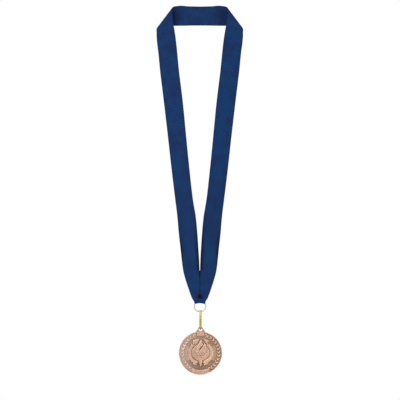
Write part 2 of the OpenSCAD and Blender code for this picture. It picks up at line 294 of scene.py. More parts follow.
# Plated metal: clouded colour, fine scratches and a slightly uneven surface, and, where one is given, a
# darker tone painted low down as shade.
def plated_material(name, clouds, roughness, low_shade_tone=None):
    s = Shader(name)
    cloud = s.ramp(s.noise(420.0, 4.0), 0.35, 0.7)
    tone = s.mix(cloud, *clouds)
    fine = s.noise(5200.0, 2.0, roughness=0.6)
    stretch = s.node("Mapping")
    stretch.inputs["Scale"].default_value = (1.0, 1.0, 9.0)
    stretch.inputs["Rotation"].default_value = (0.4, 0.2, 0.9)
    s.plug(s.node("TexCoord").outputs["Object"], stretch.inputs["Vector"])
    scratch = s.ramp(s.noise(900.0, 5.0, stretch.outputs[0], 0.7), 0.56, 0.66)
    rough = s.plus(s.times(fine, 0.14), s.times(scratch, 0.10))
    rough = s.plus(rough, roughness - 0.07)
    height = s.math("SUBTRACT", s.times(fine, 0.18), s.times(scratch, 0.15))
    # Painted shade: the darker tone below the given heights.
    if low_shade_tone:
        parts = s.node("SeparateXYZ")
        s.plug(s.node("TexCoord").outputs["Object"], parts.inputs[0])
        tone = s.mix(s.ramp(parts.outputs[2], bar_shade_foot_z, bar_shade_top_z, 0.95, 0.0), tone, low_shade_tone)
    s.set(Base_Color=tone, Metallic=1.0, Roughness=rough, Normal=s.bump(height, 0.00003, 0.5))
    return s.material


# Antique bronze plate. The attributes say how toned each spot is, with painted shade mixed into that,
# and how much painted reflection and painted highlight lie on it.
def bronze_material():
    s = Shader("antique_bronze")
    painted_reflection = s.attribute("painted_reflection")
    blot = s.math("SUBTRACT", s.noise(260.0, 4.0), 0.5)
    grit = s.noise(3600.0, 3.0, roughness=0.65)
    # The patina with painted shade mixed in, clouded.
    dark = s.math("ADD", s.attribute("patina_and_painted_shade"), s.times(blot, 0.26), clamp=True)
    warm = s.ramp(s.noise(420.0, 2.0), 0.35, 0.65)
    light = s.mix(warm, *bronze_lights)
    tone = s.mix(s.ramp(dark, 0.0, 0.5), light, bronze_toned)
    tone = s.mix(s.ramp(dark, 0.42, 1.0), tone, bronze_deep)
    # Painted reflection: a mauve-grey tint over the left side and round the rim.
    tone = s.mix(s.times(painted_reflection, 0.55), tone, bronze_reflection_tint)
    # Painted highlight along the rim's right side.
    tone = s.mix(s.attribute("painted_highlight"), tone, bronze_rim_highlight)
    tone = s.mix(s.ramp(grit, 0.35, 0.7, 0.0, 0.14), tone, bronze_grit)
    rough = s.plus(s.times(dark, 0.20), s.times(grit, 0.12))
    rough = s.plus(rough, 0.36)
    metal = s.ramp(dark, 0.55, 1.0, 1.0, 0.55)
    s.set(Base_Color=tone, Metallic=metal, Roughness=rough, Normal=s.bump(grit, 0.00004, 0.5))
    return s.material


cloth = ribbon_material()
thread = thread_material()
gilt_wire = plated_material("gilt_wire", wire_golds, 0.46)
gilt_hook = plated_material("gilt_hook", hook_golds, 0.42, bar_shade_gold)
steel_pin = plated_material("steel_pin", pin_greys, 0.30)
bronze = bronze_material()


# Ribbon
# Rows from the foot up to the roll, for the right half. The columns are the height, the
# inner edge's x, the outline's x, how far the inner and the outer edge stand behind the
# medal's plane, how far the outer edge is turned back in degrees, and the cloth beyond.
strap_rows = np.array([
    [-330.1, 0.0, 6.8, -1.35, -1.35, 14, 0.4],
    [-328.6, 0.0, 7.8, -1.50, -1.42, 60, 0.8],
    [-326.8, 0.0, 8.9, -1.35, -1.25, 130, 3.5],
    [-325.0, 0.0, 9.7, -1.20, -1.10, 180, 8.0],
    [-320.0, 0.0, 11.6, -1.40, -1.40, 180, 9.6],
    [-310.5, 0.0, 14.8, -1.60, -1.60, 180, 6.4],
    [-301.0, 0.0, 17.7, -1.70, -1.70, 180, 3.6],
    [-295.9, 0.0, 19.0, -1.80, -1.70, 155, 2.4],
    [-294.3, 0.22, 19.3, -1.80, -1.70, 148, 2.2],
    [-287.0, 0.52, 20.4, -1.90, -1.60, 100, 1.6],
    [-278.0, 1.0, 21.4, -2.10, -1.20, 50, 1.4],
    [-269.0, 1.6, 22.4, -2.30, -0.60, 15, 1.4],
    [-250.4, 2.85, 24.5, -2.60, -0.20, 2, 1.4],
    [-231.9, 4.65, 26.1, -2.90, 0.40, 2, 1.4],
    [-213.4, 7.75, 28.4, -3.20, 0.60, 2, 1.4],
    [-176.3, 12.0, 32.9, -3.60, 0.20, 2, 1.4],
    [-139.3, 15.7, 37.0, -3.90, -0.80, 2, 1.4],
    [-102.3, 19.3, 41.3, -4.00, -2.00, 2, 1.4],
    [-65.3, 23.8, 45.8, -4.00, -3.00, 0.1, 1.4],
])

# Sections that the ribbon passes on its way from the strap through the roll to the
# middle of the neck: the inner edge's x, y, z and the outer edge's x, y, z.
top_rows = [
    [26.35, hang_y - 3.8, -42.0, 47.8, hang_y - 3.4, -42.0],
    [28.8, hang_y - 3.6, -21.0, 49.1, hang_y - 3.6, -31.8],
    [30.9, hang_y - 3.6, -8.2, 49.7, hang_y - 3.6, -25.2],
    [31.8, hang_y - 3.6, -1.0, 49.85, hang_y - 3.6, -21.3],
]
neck_rows = [
    [16.5, hang_y + 3.65, 11.85, 27.0, hang_y + 3.55, -10.6],
    [7.5, hang_y + 3.7, 11.45, 11.5, hang_y + 3.6, -10.35],
    [0.0, hang_y + 3.7, 11.3, 0.0, hang_y + 3.6, -10.25],
    [-7.5, hang_y + 3.7, 11.45, -11.5, hang_y + 3.6, -10.35],
]

# The roll at the corner: where its edges begin in x and z, which way it winds and which way
# it bulges, and its radii.
roll_inner = np.array([32.25, 3.2])
roll_outer = np.array([49.8, -18.75])
roll_axis = np.array([-0.613, 0.790])
roll_out = np.array([0.790, 0.613])
roll_r = 3.6
roll_outer_r = 3.1
roll_outer_reach = 2.8

# How many steps lie across the flat cloth, the crease and the cloth turned back, and the
# power that draws them to the inner edge.
flat_n = 15
crease_n = 8
flap_n = 5
flat_power = 1.3

# Steps between the rows: fine ones up to fine_top_z, then the strap's and the roll's.
fine_step, strap_step, roll_step = 0.4, 1.2, 1.6
fine_top_z = -324.0

# The foot's fold round the ring's wire, and its tail behind.
foot_z = -332.0
foot_droop = 0.034
foot_r = 1.35
foot_back_y = hang_y + foot_r
foot_half_w = 5.2
tail_flare = 0.05
front_flare = 0.8
tail_len = 8.4

# The stitches, and how far their ends sink into the cloth and their middles stand out.
stitch_x = -0.3
stitch_z = -325.4
stitch_n = 9
stitch_pitch = 0.8
stitch_half = 0.95
stitch_lean = 0.22
thread_r = 0.17
stitch_sink = 0.3
stitch_stand = 0.08
stitched_y = hang_y - 1.2

# How the cloth hangs: to one side, with the right strap nearer; waves in the straps, each
# with its depth, its spread along and across and its lag between the sides; the crown
# across a strap; the seam's groove; the pucker, its tucks and the fuller cloth below it.
side_shift = -0.8
sway_x = -0.32
strap_waves = [(0.34, 11.5, 22, 0.8), (0.22, 5.3, 9, -1.4)]
crown_y = 0.55
seam_low_y, seam_high_y = 0.20, 0.40
pucker_y, pucker_half_w, pucker_half_h = 1.15, 3.2, 1.6
tuck_y, tuck_n = 0.2, 7
belly_y = -0.45


# The middle of the cloth across one row of the strap, with its points closer together near
# the inner edge.
def strap_section(z, inner_x, outline_x, inner_y, outer_y, turn, flap):
    a = math.radians(turn)
    r = crease_len / a
    reach = r if turn > 90 else r * math.sin(a) + flap * math.cos(a)
    start = np.array([inner_x + cloth_t / 2 * min(inner_x / 0.25, 1), hang_y + inner_y])
    bend = np.array([outline_x - reach - cloth_t / 2, hang_y + outer_y])
    flat = [start + (bend - start) * (i / flat_n) ** flat_power for i in range(flat_n + 1)]
    arc = [a * i / crease_n for i in range(1, crease_n + 1)]
    crease = [bend + r * np.array([math.sin(v), 1 - math.cos(v)]) for v in arc]
    onward = np.array([math.cos(a), math.sin(a)])
    rest = [crease[-1] + onward * flap * i / flap_n for i in range(1, flap_n + 1)]
    line = np.array(flat + crease + rest)
    return np.column_stack([line, np.full(len(line), z)])


# A straight row across the ribbon, with its points spread as given.
def straight_section(inner, outer, spread):
    inner = np.asarray(inner, float)
    outer = np.asarray(outer, float)
    return inner + (outer - inner) * spread[:, None]


# How far across a section each of its points lies, from 0 to 1.
def cloth_spread(section):
    step = np.linalg.norm(np.diff(section, axis=0), axis=1)
    walked = np.concatenate([[0], np.cumsum(step)])
    return walked / walked[-1]


# The foot: the cloth goes up behind the ring's wire, and round under it to the front.
def foot_rows(spread):
    rows = []
    for rise in np.arange(tail_len, 0.1, -strap_step):
        z = foot_z + foot_r + rise
        outer = [foot_half_w + tail_flare * rise, foot_back_y, z - 0.2]
        rows.append(straight_section([0, foot_back_y, z], outer, spread))
    for turn in range(0, 181, 10):
        a = math.radians(turn)
        y = hang_y + foot_r * math.cos(a)
        outer_x = foot_half_w + front_flare * (turn / 180) ** 2.5
        row = straight_section([0, y, 0], [outer_x, y, 0], spread)
        row[:, 2] = foot_z - foot_droop * row[:, 0] ** 2 + foot_r * (1 - math.sin(a))
        rows.append(row)
    return rows


# The roll at the top corner: the cloth winds round behind, on its way to the neck.
def roll_rows():
    rows = []
    for turn in range(0, 181, 15):
        a = math.radians(turn)
        y = hang_y - roll_r * math.cos(a)
        inner = roll_inner + roll_axis * roll_r * a + roll_out * roll_r * math.sin(a)
        outer = roll_outer + roll_axis * roll_outer_r * a + roll_out * roll_outer_reach * math.sin(a)
        rows.append([inner[0], y, inner[1], outer[0], y, outer[1]])
    return rows


# The middle of the right half's cloth, row by row from the tail's end to the neck's middle.
def ribbon_rows():
    low_z, high_z = strap_rows[0, 0], strap_rows[-1, 0]
    fine = np.arange(low_z, fine_top_z, fine_step)
    heights = np.concatenate([fine, np.arange(fine_top_z, high_z, strap_step), [high_z]])
    columns = [through_rows(strap_rows[:, 0], strap_rows[:, k], heights) for k in range(1, 7)]
    strap = [strap_section(z, *values) for z, values in zip(heights, zip(*columns))]
    foot = foot_rows(cloth_spread(strap[0]))
    last = foot.pop()
    for k in range(4):
        strap[k] = strap[k] + (last - strap[0]) * ((4 - k) / 4) ** 2
    before = [np.concatenate([strap[k][0], strap[k][-1]]) for k in (-40, -20, -1)]
    path = smooth_path(np.array(before + top_rows + roll_rows() + neck_rows), roll_step)
    neck = np.array(neck_rows[2])
    began = np.argmin(np.linalg.norm(path - before[-1], axis=1)) + 1
    ended = np.argmin(np.linalg.norm(path - neck, axis=1))
    spread = cloth_spread(strap[-1])
    top = [straight_section(p[:3], p[3:], spread) for p in [*path[began:ended], neck]]
    return np.array(foot + strap + top)


# How far the stitches pull the front of the foot back at a spot.
def pucker(x, z):
    return pucker_y * soft_spot(x, z, stitch_x, stitch_z, pucker_half_w, pucker_half_h)


# Moves the plain grid to how the cloth hangs.
def soften(grid, across):
    x, z = grid[..., 0], grid[..., 2]
    side = np.sign(x + 1e-9)
    front = (grid[..., 1] < hang_y - 0.6) & (z < -280)
    hanging = unit((z + 318) / 30) * unit((-40 - z) / 40)
    hanging *= grid[..., 1] < hang_y + 1.2
    waves = sum(y * np.sin(z / up + lag * side + x / over) for y, up, over, lag in strap_waves)
    crown = crown_y * np.abs(2 * across - 1) ** 4
    crown *= unit((z + 290) / 20) * unit((-30 - z) / 20)
    open_seam = seam_low_y + seam_high_y * step_up(z, -304, -298)
    seam = open_seam * np.exp(-(x / 0.5) ** 2)
    seam *= unit((-288 - z) / 5) * unit((z + 327) / 4)
    off_x, off_z = x - stitch_x, z - stitch_z
    tucks = tuck_y * np.cos(np.arctan2(off_z, off_x) * tuck_n)
    tucks *= np.exp(-(off_x ** 2 + (off_z * 1.2) ** 2) / 30) * step_up(off_z, 0.6, 1.4)
    belly = belly_y * soft_spot(x, z, 0, stitch_z - 3.4, 4.6, 1.5)
    sway = sway_x * (x > 0) * unit((z + 295) / 30) * unit((-15 - z) / 40)
    moved = grid.copy()
    moved[..., 0] += side_shift + sway
    moved[..., 1] += waves * hanging + crown + (seam + pucker(x, z) + tucks + belly) * front
    return moved


def normals_of(grid):
    n = np.cross(np.gradient(grid, axis=0), np.gradient(grid, axis=1))
    return n / np.linalg.norm(n, axis=2, keepdims=True)


# Painted shade on the cloth: along its folds, down the seam, in the pucker and behind the straps at the
# neck's ends.
def fold_shade(grid, normals):
    x, z = grid[..., 0], grid[..., 2]
    low = z < -285
    back = grid[..., 1] > hang_y + 1
    # Painted shade where the cloth turns away along its folds, weaker on the back.
    fold = (0.45 - 0.25 * back) * step_up(1 - np.abs(normals[..., 1]), 0.35, 0.95)
    # Painted shade down the seam, darkest just below where the straps part.
    seam = np.minimum(1.4 * np.exp(-(x / 0.95) ** 2), 1) * low * (z > stitch_z)
    seam *= 0.46 + 0.54 * step_up(z, -305, -300)
    # Painted shade in the pucker round the stitches.
    wide = soft_spot(x, z, 0.4, stitch_z - 0.2, 3.9, 1.9)
    tall = soft_spot(x, z, -0.1, stitch_z + 1.5, 2.8, 2.0)
    pucker_shade = 0.9 * step_up(np.maximum(wide, tall), 0.15, 0.8) * (grid[..., 1] < hang_y)
    # Painted shadow on the neck behind the straps' rolls.
    blot = soft_spot(np.abs(x), z, 25, 0.5, 5.0, 9.0)
    behind = (0.05 + 0.44 * blot) * back * (z > -20)
    return unit(np.maximum(fold, seam) + pucker_shade + behind)


# From a value for each point of the grid to a value for each point of the cloth's skin:
# its front, its outer edge, its back and its inner edge.
def skin_values(values):
    inner, outer = values[:, :1], values[:, -1:]
    return np.concatenate([values, outer.repeat(3, 1), values[:, ::-1], inner.repeat(3, 1)], 1)


# The skin's points: half a thickness before and behind the grid, and round its edges.
def skin_points(grid, normals):
    half = cloth_t / 2
    out = grid[:, -1] - grid[:, -2]
    out /= np.linalg.norm(out, axis=1, keepdims=True)
    inward = grid[:, 0] - grid[:, 1]
    inward /= np.linalg.norm(inward, axis=1, keepdims=True)
    points = skin_values(grid)
    cols = grid.shape[1]
    points[:, :cols] += normals * half
    points[:, cols + 3:2 * cols + 3] -= normals[:, ::-1] * half
    for k, angle in enumerate((45, 0, -45)):
        a = math.radians(angle)
        points[:, cols + k] += half * (normals[:, -1] * math.sin(a) + out * math.cos(a))
        points[:, 2 * cols + 5 - k] += half * (normals[:, 0] * math.sin(a) + inward * math.cos(a))
    return points


# Faces of one half between its rows of skin points. Where the halves are sewn together
# they have no inner edge, and where they part the crotch is closed.
def skin_faces(number, sewn, cols):
    rows, per_row = number.shape
    back = 2 * cols + 2
    faces = []
    for i in range(rows - 1):
        low, high = number[i], number[i + 1]
        around = back if sewn[i] or sewn[i + 1] else per_row
        for k in range(around):
            m = (k + 1) % per_row
            faces.append((high[k], high[m], low[m], low[k]))
        if sewn[i] and not sewn[i + 1]:
            faces.append((*high[back:], high[0], low[0], low[back]))
    end = number[0]
    for j in range(cols - 1):
        faces.append((end[back - j - 1], end[back - j], end[j], end[j + 1]))
    faces.append(tuple(end[cols - 1:cols + 4]))
    return faces


# The distances across and along the flat cloth of each point of the grid.
def cloth_uv(grid):
    along = np.cumsum(np.linalg.norm(np.diff(grid, axis=0), axis=2), 0)
    along = np.concatenate([np.zeros((1, grid.shape[1])), along * along[-1].mean() / along[-1]])
    across = np.cumsum(np.linalg.norm(np.diff(grid, axis=1), axis=2), 1)
    across = np.concatenate([np.zeros((len(grid), 1)), across], 1)
    width = across[:, -1:]
    across *= 1 + (ribbon_w / width - 1) * step_up(width, 10, 20)
    return np.stack([across, along], 2)


def build_ribbon():
    grid = ribbon_rows()
    rows, cols = grid.shape[:2]
    uv = cloth_uv(grid)
    sewn = np.abs(grid[:, 0, 0]) < 0.05
    sewn[-1] = False
    halves, shades = [], []
    for side in (1, -1):
        mirror = np.array([side, 1, 1])
        half = soften(grid * mirror, uv[..., 0] / uv[:, -1:, 0]) * mirror
        normals = normals_of(half)
        halves.append(skin_points(half, normals) * mirror)
        shades.append(skin_values(fold_shade(grid * mirror, normals)))
    points = np.array(halves)
    shade = np.array(shades)
    per_row = points.shape[2]
    number = np.arange(2 * rows * per_row).reshape(2, rows, per_row)
    middle = points.mean(0)
    for k in (0, 2 * cols + 2):
        points[0, sewn, k] = middle[sewn, k]
        number[1, sewn, k] = number[0, sewn, k]
    points[0, -1] = middle[-1]
    number[1, -1] = number[0, -1]
    faces = skin_faces(number[0], sewn, cols)
    faces += [face[::-1] for face in skin_faces(number[1], sewn, cols)]
    used = np.zeros(number.size, bool)
    used[np.concatenate(faces)] = True
    renumber = np.cumsum(used) - 1
    faces = [renumber[list(face)].tolist() for face in faces]
    piece = make_piece("ribbon_cloth", points.reshape(-1, 3)[used], faces, cloth)
    mesh = piece.data
    skin_uv = np.concatenate([skin_values(uv).reshape(-1, 2)] * 2)[used] * MM
    layer = mesh.uv_layers.new(name="cloth")
    corner = np.zeros(len(mesh.loops), int)
    mesh.loops.foreach_get("vertex_index", corner)
    layer.uv.foreach_set("vector", skin_uv[corner].astype(np.float32).ravel())
    # The cloth's painted shade, kept on its points.
    dark = mesh.attributes.new("fold", "FLOAT", "POINT")
    dark.data.foreach_set("value", shade.reshape(-1)[used].astype(np.float32))
    return piece, uv[-1, 0, 1] * 2 * MM


# A round thread along a path, as points and faces that are numbered from start.
def tube(path, radius, sides, start):
    d = np.gradient(path, axis=0)
    d /= np.linalg.norm(d, axis=1, keepdims=True)
    a = np.cross(d, [0.31, 0.17, 0.93])
    a /= np.linalg.norm(a, axis=1, keepdims=True)
    b = np.cross(a, d)
    turns = (np.arange(sides) * 2 * math.pi / sides)[None, :, None]
    ring = path[:, None] + radius * (a[:, None] * np.cos(turns) + b[:, None] * np.sin(turns))
    faces = around_faces(len(path), sides, start, closed=False)
    last = start + (len(path) - 1) * sides
    faces += [tuple(range(start, start + sides)), tuple(range(last + sides - 1, last - 1, -1))]
    return ring.reshape(-1, 3), faces


# The stitches that close the foot over the ring, seen on its front and its back.
def build_stitches():
    points, faces = [], []
    count = 0
    t = np.linspace(-1, 1, 9)
    rng = np.random.default_rng(11)
    for is_front in (True, False):
        for k in range(stitch_n):
            middle = stitch_x + stitch_pitch * (k - (stitch_n - 1) / 2)
            x = middle + rng.uniform(-0.08, 0.08) + stitch_lean * t
            z = stitch_z + (stitch_half + rng.uniform(-0.1, 0.1)) * t
            dip = stitch_sink * t ** 4 - stitch_stand
            if is_front:
                y = stitched_y + pucker(x, z) - cloth_t / 2 + dip
            else:
                y = foot_back_y + cloth_t / 2 - dip
            made, more = tube(np.column_stack([x + side_shift, y, z]), thread_r, 8, count)
            points.append(made)
            faces += more
            count += len(made)
    return make_piece("stitches", np.concatenate(points), faces, thread)


ribbon, ribbon_len = build_ribbon()
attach(ribbon, "band")
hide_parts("ribbon")
stitches = build_stitches()
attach(stitches, "band")


# Ring
# It hangs a little left of the hook, under the middle of the foot.
ring_x = -0.42


def build_ring():
    around, sides = 160, 20
    a = (np.arange(around) * 2 * math.pi / around)[:, None]
    b = (np.arange(sides) * 2 * math.pi / sides)[None, :]
    r = ring_r + ring_wire_r * np.cos(b)
    y = hang_y + ring_wire_r * np.sin(b) + 0 * a
    points = np.stack([ring_x + r * np.sin(a), y, ring_z + r * np.cos(a)], 2).reshape(-1, 3)
    return make_piece("ring_wire", points, around_faces(around, sides), gilt_wire)


ring = build_ring()
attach(ring, "band")
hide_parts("ring")


# Hook
# Below its head the bar is wider than its solid's: over these heights, and by this share.
bar_top_z, bar_foot_z, bar_spread = -348.6, -350.4, 0.24
weld_gap = 0.002
relax_share = 0.5


# A cast part: its solid's own form with softened edges. It is made again of small cells,
# voxel millimetres wide, and relaxed by rounds.
def cast_piece(name, node, body, material, voxel, rounds, spread=0.0):
    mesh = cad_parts[node].data.copy()
    mesh.name = name
    piece = bpy.data.objects.new(name, mesh)
    bpy.context.scene.collection.objects.link(piece)
    weld = piece.modifiers.new("weld", "WELD")
    weld.merge_threshold = weld_gap * MM
    remesh = piece.modifiers.new("remesh", "REMESH")
    remesh.mode = "VOXEL"
    remesh.voxel_size = voxel * MM
    relax = piece.modifiers.new("relax", "SMOOTH")
    relax.factor = relax_share
    relax.iterations = rounds
    graph = bpy.context.evaluated_depsgraph_get()
    made = bpy.data.meshes.new_from_object(piece.evaluated_get(graph))
    piece.modifiers.clear()
    piece.data = made
    if spread:
        points = np.array([tuple(v.co) for v in made.vertices])
        points[:, 0] *= 1 + spread * (1 - step_up(points[:, 2] / MM, bar_foot_z, bar_top_z))
        made.vertices.foreach_set("co", points.ravel())
        made.update()
    made.shade_smooth()
    made.materials.clear()
    made.materials.append(material)
    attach(piece, body)
    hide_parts(node)


cast_piece("hook_casting", "clip_body", "hook", gilt_hook, 0.09, 5, bar_spread)
cast_piece("gate_casting", "clip_gate", "gate", gilt_hook, 0.07, 4)
cast_piece("rivet_pin", "clip_rivet", "hook", steel_pin, 0.05, 4)


# Medal
# The relief is worked out as heights above the recessed field on a fine square net. Places
# on it are millimetres from the disc's middle, and bearings are degrees from its top.
net_n = 1280
net_half = 25.6
field_y = -1.05
back_y = 1.25
rim_h, rim_r, rim_half_w = 0.70, 24.62, 0.42
border_low, border_high = 18.8, 24.2
border_ground_h = 0.08
border_stem_r = 21.0
border_pitch = 10.9
border_first = 155.1
border_pairs = 13
foot_half = 24.0
block_h = 0.60
side_plate_h = 0.16
upper_plate_h = 0.28
inner_disc_h = 0.24
wreath_r = 12.6
wreath_pitch = 12.8
wreath_first = 161.0
wreath_nodes = 9
torch_x = 0.15
flame_h = 0.50
net_line = np.linspace(-net_half, net_half, net_n)
net_x, net_z = np.meshgrid(net_line, net_line)
net_r = np.hypot(net_x, net_z)
net_a = np.degrees(np.arctan2(net_x, net_z))
bearing_off = np.abs(net_a)
cell = 2 * net_half / (net_n - 1)

# Leaves at each node of a stem. The columns are the degrees from the node, the heading from
# the stem, the length, the width, the heights at the base and the tip, and the curl.
border_leaves = [
    [0, -37, 4.1, 1.5, 0.28, 0.50, 0.03],
    [0, 38, 4.1, 1.5, 0.28, 0.50, -0.03],
]
wreath_stem_leaves = [
    [0, -34, 4.6, 1.75, 0.15, 0.40, 0.05],
    [0, 28, 5.0, 1.85, 0.15, 0.40, -0.03],
    [-5, -6, 5.2, 1.7, 0.20, 0.47, 0.02],
]

# Leaves at the wreath's ends: x and z, then as above with the heading from the top.
wreath_end_leaves = [
    [12.7, 7.0, -79, 8.4, 1.9, 0.18, 0.52, 0.03],
    [8.6, -9.9, -108, 6.3, 1.9, 0.12, 0.46, 0.02],
    [9.0, -11.6, -106, 6.2, 1.8, 0.12, 0.50, -0.02],
]

# Corners of the plates beside the flame, of the flame, and of the block under the eyelet.
left_plate = [
    [-8.8, 12.8], [-8.5, 14.5], [-5.2, 15.9], [-1.2, 17.0],
    [-2.3, 13.8], [-3.8, 11.0], [-5.8, 10.6], [-8.0, 10.9],
]
right_plate = [
    [3.6, 16.8], [6.2, 16.3], [9.4, 15.3], [9.1, 13.6],
    [7.5, 10.4], [6.0, 12.1], [4.5, 14.4],
]
flame = [
    [0.7, 15.9], [2.2, 14.4], [3.7, 12.8], [4.9, 11.3], [5.9, 9.6], [6.6, 7.6],
    [6.6, 5.2], [5.9, 2.9], [5.4, 1.6], [-4.6, 1.6], [-5.2, 3.0], [-5.4, 4.8],
    [-4.9, 7.1], [-3.9, 9.2], [-2.5, 11.1], [-1.5, 12.8], [-0.5, 14.4],
]
top_block = [[-4.3, 20.0], [4.3, 20.0], [4.1, 26], [-4.1, 26]]

# Cuts in the relief: x, z and half the width along each.
flame_slit = [[2.6, 8.6, 0.6], [1.5, 7.2, 1.0], [0.3, 5.6, 1.35], [-0.5, 4.5, 1.45], [-1.1, 3.7, 0.9]]
flame_notch = [[2.0, 13.2, 0.5], [2.8, 11.9, 0.95], [3.35, 10.7, 1.25], [3.4, 9.8, 0.8]]
flame_fold = [[4.7, 8.4, 0.35], [4.2, 6.6, 0.6], [3.5, 4.6, 0.4]]
flame_edge = [
    [-0.1, 17.6, 0.5], [1.9, 16.2, 0.8], [3.5, 14.4, 0.85], [5.3, 12.2, 0.85], [6.9, 10.2, 0.7],
]
plate_foot = [[-9.4, 9.7, 0.5], [-7.4, 9.5, 0.8], [-5.2, 9.8, 0.8]]
wreath_gap = [[-9.0, 5.0, 0.7], [-8.1, 6.1, 1.15], [-7.3, 7.3, 0.7]]
# The grooves beside the bowl lie where shade falls below its lip; their toned dark is painted shade.
beside_bowl = [[6.7, 0.9, 1.0], [5.1, -0.9, 1.35], [3.6, -2.9, 1.0]]

# How toned the wall, the back and the eyelet are, and how much painted reflection lies on the eyelet.
wall_shade = 0.22
eyelet_shade = 0.46
eyelet_reflection = 0.4

# The eyelet: points round it, its sides' slope in degrees, the radius of its top, whose
# centre lies eyelet_rise above the hole, and its section.
eyelet_n = 144
eyelet_slope = 33
eyelet_top_r = 3.05
eyelet_rise = 0.1
eyelet_half_t = 1.0
eyelet_bevel = 0.38
eyelet_reach = 7.2

# The torch from its tip up, as turned parts: rows of z and half the width.
grip = [[-15.5, 0.5], [-13.2, 1.2], [-10.8, 1.75], [-8.5, 2.15], [-5.45, 2.75]]
collar = [[-5.25, 3.0], [-3.2, 3.1]]
bowl = [[-2.75, 3.3], [-1.2, 4.2]]
bowl_top = [[-1.2, 4.3], [0.05, 5.1]]
lip = [[0.2, 5.5], [1.85, 5.75]]


# An image on the net, softened over a width in millimetres.
def blurred(image, width):
    f = np.fft.rfftfreq(net_n, cell)[None, :]
    g = np.fft.fftfreq(net_n, cell)[:, None]
    fade = np.exp(-2 * (math.pi * width) ** 2 * (f * f + g * g))
    return np.fft.irfft2(np.fft.rfft2(image) * fade, s=image.shape)


# A place at a bearing, on the right for side 1 and on the left for side -1.
def place_at(bearing, r, side):
    b = math.radians(bearing)
    return side * r * math.sin(b), r * math.cos(b)


# A leaf from a place along a heading. It rises from its base to its tip, has a rounded
# back and a rib, and covers what lies lower. The fuller it is, the blunter its base.
def add_leaf(height, base, heading, length, width, low, high, curl, full=0.72):
    a = math.radians(heading)
    dx, dz = math.sin(a), math.cos(a)
    reach = length + 1.2
    near = (np.abs(net_x - base[0]) < reach) & (np.abs(net_z - base[1]) < reach)
    x = net_x[near] - base[0]
    z = net_z[near] - base[1]
    u = (x * dx + z * dz) / length
    v = x * dz - z * dx - curl * (u * length) ** 2
    inside = (u > 0) & (u < 1)
    u = np.clip(u, 1e-4, 1 - 1e-4)
    half = width / 2 * np.sin(math.pi * u ** full) ** 0.75
    q = unit(np.abs(v) / np.maximum(half, 1e-4))
    rib = 0.07 * np.exp(-(v / 0.10) ** 2) * (1 - u) ** 0.3
    rise = (low + (high - low) * u ** 0.7) * (1 - q * q) ** 0.55 - rib
    rise = np.where(inside & (q < 1) & (rise > 0.02), rise + 0.10, 0)
    height[near] = np.maximum(height[near], rise)


# Which places of the net lie inside the corners.
def inside_polygon(corners):
    inside = np.zeros(net_x.shape, bool)
    p = np.asarray(corners, float)
    for (x1, z1), (x2, z2) in zip(p, np.roll(p, -1, 0)):
        if z1 != z2:
            at = (x2 - x1) * (net_z - z1) / (z2 - z1) + x1
            inside ^= ((z1 > net_z) != (z2 > net_z)) & (net_x < at)
    return inside


# A raised figure with softened edges and a crowned back.
def add_figure(height, corners, top, soft, crown):
    mask = inside_polygon(corners).astype(float)
    edge = step_up(blurred(mask, soft), 0.30, 0.80)
    body = top + crown * step_up(blurred(mask, 1.3), 0.45, 0.98)
    return np.maximum(height, edge * body)


# How deep each spot lies in a cut: 1 along its middle and 0 outside it.
def cut_along(rows):
    depth = np.zeros(net_x.shape)
    p = np.asarray(rows, float)
    for a, b in zip(p[:-1], p[1:]):
        d = b[:2] - a[:2]
        t = unit(((net_x - a[0]) * d[0] + (net_z - a[1]) * d[1]) / (d @ d))
        away = np.hypot(net_x - a[0] - t * d[0], net_z - a[1] - t * d[1])
        depth = np.maximum(depth, 1.35 - 1.35 * away / (a[2] + t * (b[2] - a[2])))
    return step_up(depth, 0, 1)


# A part of the torch that looks turned: rows of z and half the width.
def add_turned(height, rows, lift, crown):
    rows = np.asarray(rows, float)
    z = np.clip(net_z, rows[0, 0], rows[-1, 0])
    half = through_rows(rows[:, 0], rows[:, 1], z.ravel()).reshape(z.shape)
    within = (net_z >= rows[0, 0]) & (net_z <= rows[-1, 0])
    q = unit(np.abs(net_x - torch_x) / np.maximum(half, 0.05))
    ends = np.minimum(net_z - rows[0, 0], rows[-1, 0] - net_z)
    soft = unit(ends / 0.28) ** 0.5
    form = (lift + crown * np.sqrt(1 - q * q)) * (1 - q ** 8) * soft
    return np.where(within & (q < 1), np.maximum(height, form), height)


# The border: pairs of leaves that climb both sides from a plain foot to the block that
# carries the eyelet, with a bud at each top end, inside the rim's bead.
def add_border(h):
    h = np.maximum(h, border_ground_h * step_up(net_r, border_low - 0.3, border_low + 0.2))
    leaves = np.zeros_like(h)
    for side in (-1, 1):
        for k in range(border_pairs):
            bearing = border_first - border_pitch * k
            for ahead, turn, *size, curl in border_leaves:
                base = place_at(bearing + 0.8 + ahead, border_stem_r, side)
                add_leaf(leaves, base, side * (bearing - 90 + turn), *size, side * curl, 0.5)
        add_leaf(leaves, place_at(19.6, 22.3, side), side * -74, 3.1, 2.3, 0.35, 0.50, 0, 0.6)
    leaves *= (net_r > border_low - 0.5) & (net_r < border_high)
    h = np.maximum(h, leaves)
    from_foot = 180 - bearing_off
    foot = step_up(from_foot, foot_half + 0.8, foot_half - 0.8)
    foot *= step_up(net_r, 19.3, 19.9) * step_up(net_r, border_high + 0.2, border_high - 0.1)
    swell = 0.42 + 0.14 * np.cos(np.clip((net_r - 22.0) / 2.6, -1, 1) * math.pi / 2)
    h = np.where(foot > 0, np.maximum(h * (1 - foot), foot * swell), h)
    block = step_up(blurred(inside_polygon(top_block).astype(float), 0.2), 0.3, 0.8)
    beside = step_up(blurred(block, 0.5), 0.1, 0.5)
    h = np.maximum(h * (1 - beside), block_h * block)
    bead = np.sqrt(unit(1 - ((net_r - rim_r) / rim_half_w) ** 2))
    return np.maximum(h, rim_h * bead)


